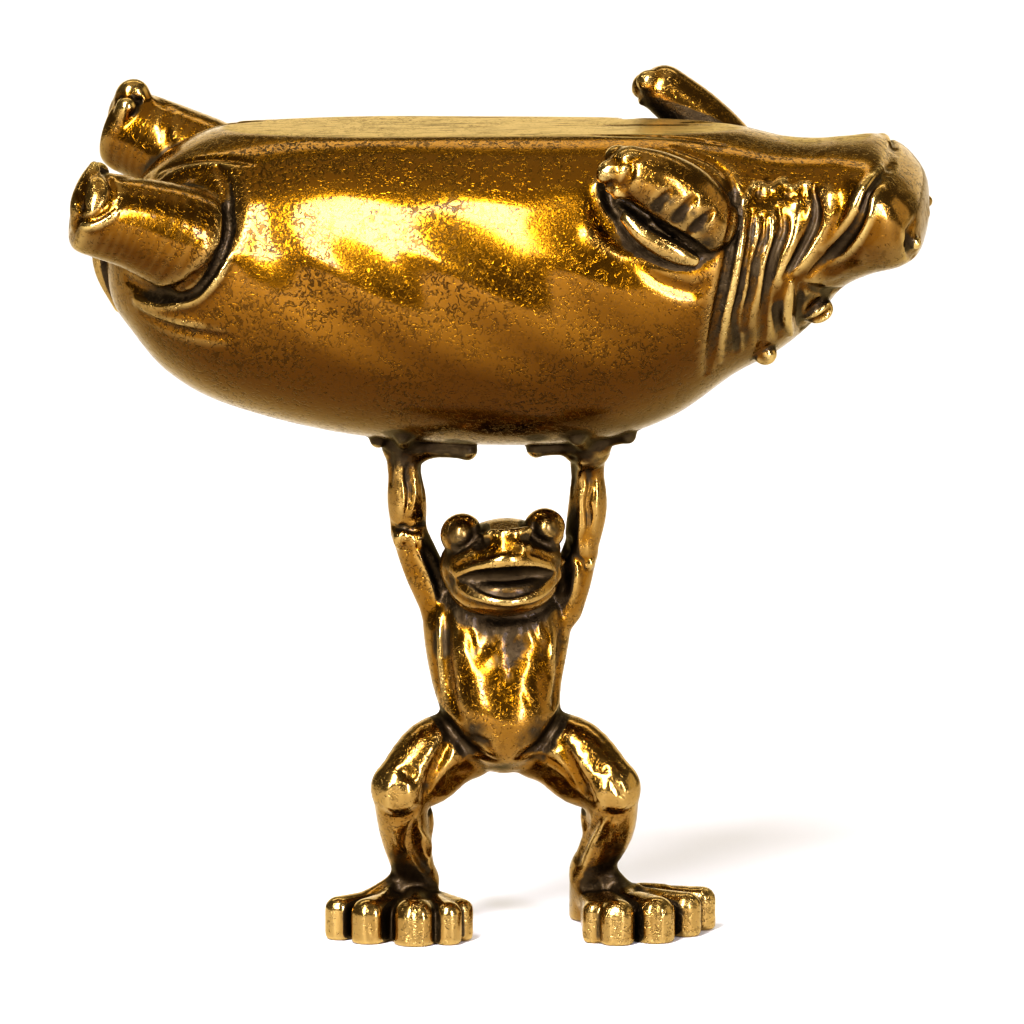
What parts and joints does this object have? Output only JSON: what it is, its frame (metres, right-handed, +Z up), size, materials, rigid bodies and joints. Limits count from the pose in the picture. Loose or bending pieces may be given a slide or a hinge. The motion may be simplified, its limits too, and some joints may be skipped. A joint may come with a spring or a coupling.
{
  "type": "brass figurine of a frog lifting a hippopotamus",
  "caption": "Small cast brass figurine: a frog stands upright on splayed feet and holds a hippopotamus over its head, belly up.",
  "frame": {"origin": "on the floor under the middle of the whole outline", "axes": "+Z up, the frog faces -Y, the hippopotamus's head points to +X"},
  "size_m": [0.0448, 0.0207, 0.0449],
  "materials": {
    "brass": "polished on the high places, with fine casting pits and a dark brown patina in the recesses"
  },
  "bodies": {
    "root": {"frog_lifting_hippo": "brass"}
  },
  "joints": []
}
